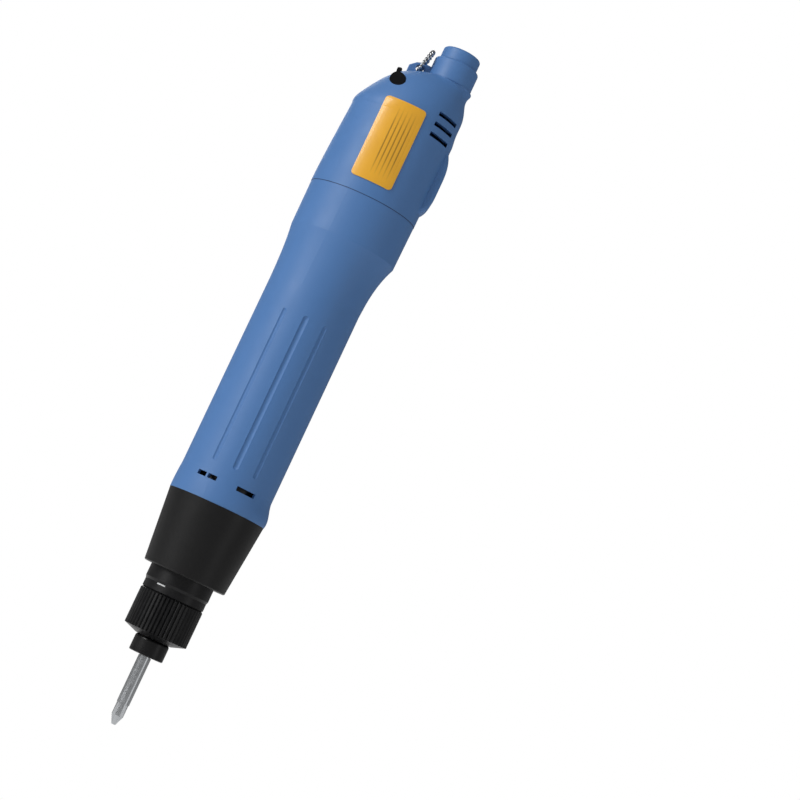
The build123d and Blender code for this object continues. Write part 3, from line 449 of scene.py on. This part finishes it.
def cross_screws(made):
    """The head's four screws: a cone-edged head with a cross recess on a plain shank."""
    deep = screws_high[1] - screw_head_height
    tree, given = grown("cross_screws", {
        "Head Radius": 2.2 * MM, "Top Share": 0.8, "Head Height": screw_head_height,
        "Shank Radius": 1.2 * MM, "Shank Length": deep - screws_low[1],
        "Slot Length": 2.4 * MM, "Slot Width": 0.6 * MM, "Cutter Height": 1.8 * MM})
    head_top = add(tree, "ShaderNodeMath", {
        0: given["Head Radius"], 1: given["Top Share"]}, operation="MULTIPLY")
    head = add(tree, "GeometryNodeMeshCone", {
        "Vertices": 32, "Radius Bottom": given["Head Radius"], "Radius Top": head_top,
        "Depth": given["Head Height"]})
    slot_size = add(tree, "ShaderNodeCombineXYZ", {
        "X": given["Slot Length"], "Y": given["Slot Width"], "Z": given["Cutter Height"]})
    cutter = add(tree, "GeometryNodeMeshCube", {"Size": slot_size})
    cut = head
    for turn in (math.pi / 4, -math.pi / 4):
        slot = add(tree, "GeometryNodeTransform", {
            "Geometry": cutter, "Rotation": (0, 0, turn), "Translation": (0, 0, screw_head_height)})
        cut = add(tree, "GeometryNodeMeshBoolean", {0: cut, 1: slot}, operation="DIFFERENCE")
    shank = add(tree, "GeometryNodeMeshCylinder", {
        "Vertices": 24, "Radius": given["Shank Radius"], "Depth": given["Shank Length"]})
    half_down = add(tree, "ShaderNodeMath", {0: given["Shank Length"], 1: -0.5}, operation="MULTIPLY")
    down = add(tree, "ShaderNodeCombineXYZ", {"Z": half_down})
    lowered = add(tree, "GeometryNodeTransform", {"Geometry": shank, "Translation": down})
    whole = add(tree, "GeometryNodeJoinGeometry", {0: cut})
    tree.links.new(lowered.outputs[0], whole.inputs[0])
    placed = add(tree, "GeometryNodeInstanceOnPoints", {
        "Points": given["Geometry"], "Instance": whole, "Rotation": (-math.pi / 2, 0, 0)})
    piece = harvested(tree, placed, made, [(x * MM, deep, z * MM) for x, z in screw_places])
    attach(piece, "housing")
    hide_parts("head_screws")


def index_line(made):
    """The painted index line on the clutch housing, a shallow patch bent to its barrel."""
    corners = []
    for i in range(index_steps + 1):
        angle = math.radians(index_start + index_sweep * i / index_steps)
        for reach, level in ((0, 0), (paint_thickness, 0), (paint_thickness, index_width), (0, index_width)):
            radius = barrel_radius + reach
            corners.append((radius * math.cos(angle), radius * math.sin(angle), index_height + level))
    last = 4 * index_steps
    faces = [(3, 2, 1, 0), (last, last + 1, last + 2, last + 3)]
    for i in range(0, last, 4):
        faces += [(i + j, i + (j + 1) % 4, i + 4 + (j + 1) % 4, i + 4 + j) for j in range(4)]
    mesh = bpy.data.meshes.new("index_line")
    mesh.from_pydata(corners, [], faces)
    mesh.materials.append(made)
    piece = linked("index_line", mesh)
    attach(piece, "housing")


def slit_shade_ring(made):
    """A black ring under the clutch housing's edge that closes the slit above the nut, as painted shade."""
    tree, given = grown("slit_shade_ring", {"Ring Radius": slit_shade_radius, "Section Radius": slit_shade_section})
    circle = add(tree, "GeometryNodeCurvePrimitiveCircle", {
        "Resolution": 96, "Radius": given["Ring Radius"]})
    section = add(tree, "GeometryNodeCurvePrimitiveCircle", {
        "Resolution": 12, "Radius": given["Section Radius"]})
    bead = add(tree, "GeometryNodeCurveToMesh", {0: circle, 1: section})
    piece = harvested(tree, bead, made)
    piece.data.transform(Matrix.Translation((0, 0, nut_top + slit_shade_rise)))
    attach(piece, "housing")


# Steel wire, drawn and twisted: bright and hard, dark between its strands
twisted_ring(turned_metal("drawn_ring_wire", "b4b7ba", roughness=0.2, line=0.3 * MM, depth=0.004 * MM))

# Steel, cold-headed and zinc-plated: a soft silver
cross_screws(turned_metal("zinc_plated_screw", "a3a6a8", roughness=0.3, line=0.2 * MM, depth=0.004 * MM))

# Marking paint: pale grey and flat, a little uneven
index_line(moulded("index_paint", "c9cacb", roughness=0.5, grain=0.2 * MM, depth=0.004 * MM, drift=0.12))

# A black, matt ring in the slit above the nut: painted shade for that slit's dark line
slit_shade_ring(moulded("painted_slit_shade_black", "0c0c0d", roughness=0.7, grain=0.3 * MM, depth=0.004 * MM))


def lay_floor():
    """A pale floor well below the tool, which the camera sees as plain white."""
    bpy.ops.mesh.primitive_plane_add(size=floor_size, location=(0, 0, cad_low[2] - floor_drop))
    floor = bpy.context.object
    floor.name = "floor"
    made = bpy.data.materials.new("pale_floor")
    tree = emptied(made)
    diffuse = add(tree, "ShaderNodeBsdfDiffuse", {"Color": (0.9, 0.9, 0.9, 1)})
    glow = add(tree, "ShaderNodeEmission", {"Color": (1, 1, 1, 1), "Strength": 1.0})
    path = add(tree, "ShaderNodeLightPath")
    surface = add(tree, "ShaderNodeMixShader", {0: path.outputs["Is Camera Ray"], 1: diffuse, 2: glow})
    add(tree, "ShaderNodeOutputMaterial", {"Surface": surface})
    floor.data.materials.append(made)


def surround():
    """A white surround: full white to the camera and through glass, and dimmer as a light and in gloss."""
    world = bpy.data.worlds.new("studio")
    bpy.context.scene.world = world
    tree = emptied(world)
    path = add(tree, "ShaderNodeLightPath")
    seen = add(tree, "ShaderNodeMath", {
        0: path.outputs["Is Camera Ray"], 1: path.outputs["Is Transmission Ray"]}, operation="MAXIMUM")
    unseen = add(tree, "ShaderNodeMapRange", {
        "Value": path.outputs["Is Glossy Ray"], "To Min": surround_light, "To Max": surround_in_gloss})
    strength = add(tree, "ShaderNodeMapRange", {"Value": seen, "To Min": unseen, "To Max": 1.0})
    sky = add(tree, "ShaderNodeBackground", {"Color": (1, 1, 1, 1), "Strength": strength})
    add(tree, "ShaderNodeOutputWorld", {"Surface": sky})


def area_light(name, place, size, power):
    """A rectangular lamp, aimed at the tool's middle."""
    lamp = bpy.data.lights.new(name, "AREA")
    lamp.shape = "RECTANGLE"
    lamp.size, lamp.size_y = size
    lamp.energy = power
    made = linked(name, lamp)
    made.location = place
    made.rotation_mode = "QUATERNION"
    made.rotation_quaternion = (Vector(tool_middle) - Vector(place)).to_track_quat("-Z", "Y")


def camera():
    """The photograph's camera."""
    lens = bpy.data.cameras.new("camera")
    lens.sensor_width = 36.0
    lens.lens = focal_length
    made = linked("camera", lens)
    turn = Matrix((camera_right, camera_up, camera_right.cross(camera_up))).transposed()
    made.matrix_world = Matrix.Translation(camera_place) @ turn.to_4x4()
    bpy.context.scene.camera = made


lay_floor()
surround()
area_light("key", place=(-1.1, -0.75, 0.75), size=(0.5, 1.0), power=13.5)
area_light("fill", place=(1.3, -0.9, 0.1), size=(0.6, 0.8), power=1.0)
area_light("rim", place=(-0.2, 1.2, 0.8), size=(0.8, 0.8), power=5.0)
camera()

bpy.context.scene.view_settings.view_transform = "Standard"
